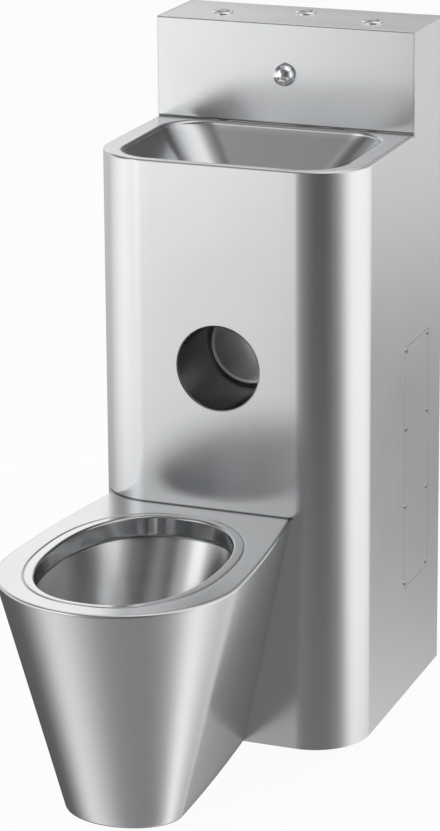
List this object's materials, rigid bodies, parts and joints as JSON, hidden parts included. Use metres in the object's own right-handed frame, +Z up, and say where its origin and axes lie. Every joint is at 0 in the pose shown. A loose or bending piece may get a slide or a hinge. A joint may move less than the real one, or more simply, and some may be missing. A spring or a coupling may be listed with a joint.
{
  "type": "toilet and basin combination unit",
  "caption": "Stainless steel toilet pan in front of a cabinet with a basin, spout, push buttons, roll recess and upstand, fixed to wall and floor.",
  "frame": {"origin": "on the floor, at the middle of the cabinet's width, in the plane of the wall", "axes": "+Z up, +Y into the wall, front towards -Y, +X to the right seen from the front"},
  "size_m": [0.4092, 0.858, 1.012],
  "materials": {
    "satin_steel": "satin stainless sheet, vertical grain",
    "bowl_steel": "satin stainless, spun and brushed, inside of the pan",
    "inner_steel": "mill finish stainless of inner pieces",
    "polished_steel": "polished stainless",
    "chrome": "bright chrome plate",
    "brass": "machined brass",
    "copper": "drawn copper tube",
    "rubber": "black seal rubber",
    "white_plastic": "moulded white plastic",
    "spring_steel": "spring wire",
    "red_handle": "red dipped lever",
    "blue_handle": "blue dipped lever"
  },
  "bodies": {
    "unit": {"cabinet_shell": "satin_steel", "splash_panel": "satin_steel", "basin": "satin_steel", "roll_recess": "polished_steel", "lower_rail": "inner_steel", "upper_rail": "inner_steel", "hatch_cover": "satin_steel", "hatch_frame": "inner_steel", "hatch_screws": "chrome", "pan_shroud": "satin_steel", "pan_top": "satin_steel", "rim_ring": "polished_steel", "flush_channel": "inner_steel", "pan_bowl": "bowl_steel", "pan_sump": "bowl_steel", "pan_trap": "inner_steel", "waste_pipe": "inner_steel", "waste_seal": "rubber", "flush_pipe": "chrome", "flush_sleeve": "rubber", "strainer": "polished_steel", "drain_washer": "rubber", "drain_nut": "brass", "bottle_trap": "chrome", "trap_cup": "chrome", "drain_pipe": "white_plastic", "spout": "chrome", "spout_insert": "white_plastic", "spout_nut": "brass", "spout_tee": "brass", "hot_link": "copper", "cold_link": "copper", "hot_valve": "brass", "cold_valve": "brass", "flush_valve": "brass", "locknuts": "brass", "button_rings": "chrome", "hot_spring": "spring_steel", "cold_spring": "spring_steel", "flush_spring": "spring_steel", "hot_feed": "copper", "cold_feed": "copper", "flush_feed": "copper", "inlet_bends": "copper", "hot_stop_valve": "brass", "cold_stop_valve": "brass", "flush_stop_valve": "brass"},
    "hot_press": {"hot_button": "chrome", "hot_stem": "brass"},
    "cold_press": {"cold_button": "chrome", "cold_stem": "brass"},
    "flush_press": {"flush_button": "chrome", "flush_stem": "brass"},
    "hot_stop": {"hot_stop_lever": "red_handle", "hot_stop_ball": "chrome"},
    "cold_stop": {"cold_stop_lever": "blue_handle", "cold_stop_ball": "chrome"},
    "flush_stop": {"flush_stop_lever": "blue_handle", "flush_stop_ball": "chrome"}
  },
  "joints": [
    {"name": "hot_push", "type": "slide", "parent": "unit", "child": "hot_press", "axis": [0, 0, -1], "range_m": [0, 0.005], "stiffness_N_per_m": 400, "springref_m": -0.004, "deforming": ["hot_spring"]},
    {"name": "cold_push", "type": "slide", "parent": "unit", "child": "cold_press", "axis": [0, 0, -1], "range_m": [0, 0.005], "stiffness_N_per_m": 400, "springref_m": -0.004, "deforming": ["cold_spring"]},
    {"name": "flush_push", "type": "slide", "parent": "unit", "child": "flush_press", "axis": [0, 0, -1], "range_m": [0, 0.005], "stiffness_N_per_m": 400, "springref_m": -0.004, "deforming": ["flush_spring"]},
    {"name": "hot_stop_turn", "type": "hinge", "parent": "unit", "child": "hot_stop", "pos_m": [-0.117, -0.084, 0.545], "axis": [0, -1, 0], "range_deg": [0, 90]},
    {"name": "cold_stop_turn", "type": "hinge", "parent": "unit", "child": "cold_stop", "pos_m": [0.117, -0.084, 0.545], "axis": [0, 1, 0], "range_deg": [0, 90]},
    {"name": "flush_stop_turn", "type": "hinge", "parent": "unit", "child": "flush_stop", "pos_m": [0.052, -0.045, 0.545], "axis": [0, 1, 0], "range_deg": [0, 90]}
  ]
}
